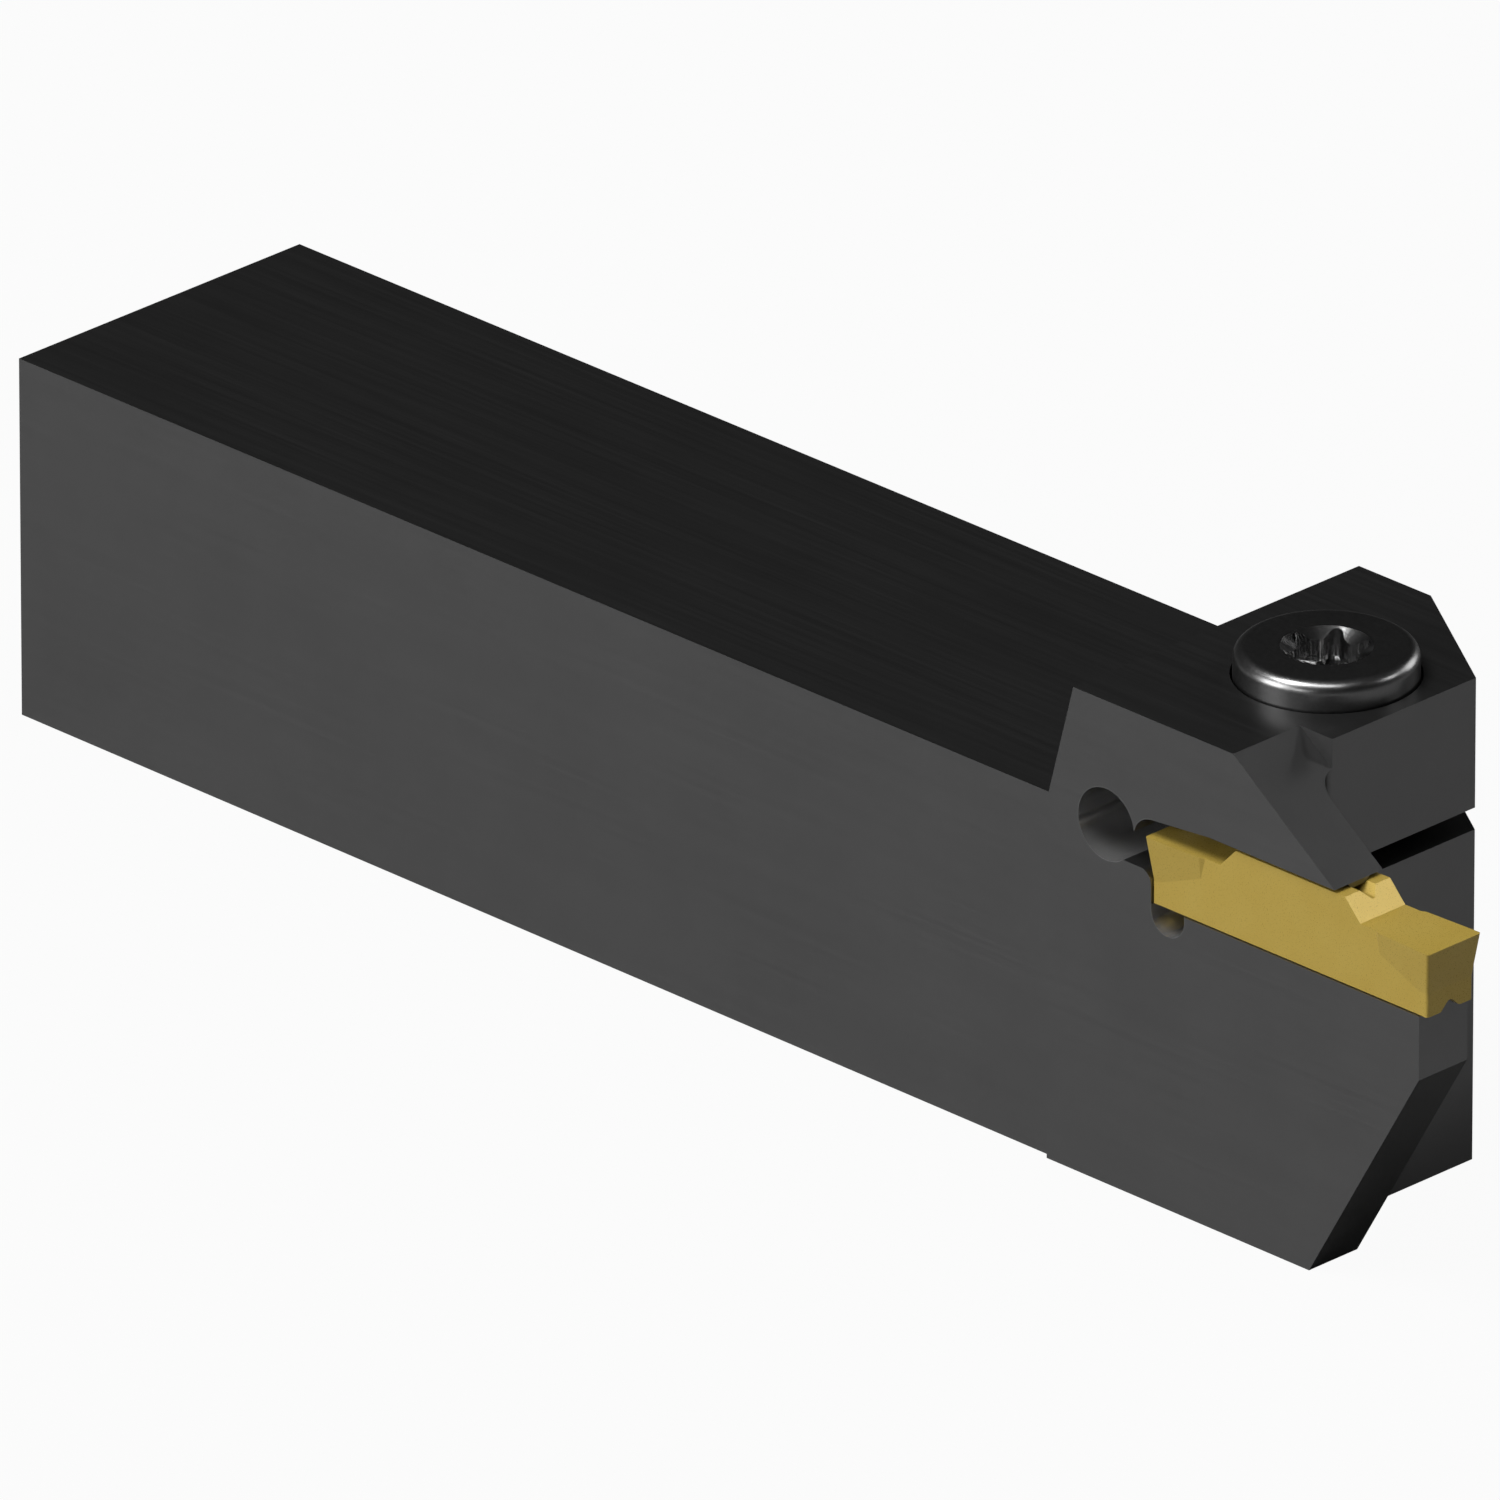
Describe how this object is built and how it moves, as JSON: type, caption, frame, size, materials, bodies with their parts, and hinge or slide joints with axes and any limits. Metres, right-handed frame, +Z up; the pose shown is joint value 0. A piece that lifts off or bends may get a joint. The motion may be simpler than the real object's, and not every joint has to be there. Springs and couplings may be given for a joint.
{
  "type": "grooving tool holder",
  "caption": "Square-shank steel grooving tool holder with a slit clamp jaw, its clamp screw and a double-ended grooving insert held on V rails.",
  "frame": {"origin": "on the bottom seat face, mid-width of the square shank, where the shank meets the head", "axes": "+X along the shank towards the cutting edge, +Z up from the seat face to the rake side, -Y the side that carries the insert"},
  "size_m": [0.1256, 0.0256, 0.0351],
  "materials": {
    "holder_steel": "hardened tool steel, blackened and satin",
    "coated_carbide": "cemented carbide with a gold nitride coating, satin",
    "screw_steel": "black oxide steel, glossy"
  },
  "bodies": {
    "root": {"holder_body": "holder_steel", "cutting_insert": "coated_carbide", "clamp_screw": "screw_steel"}
  },
  "joints": []
}
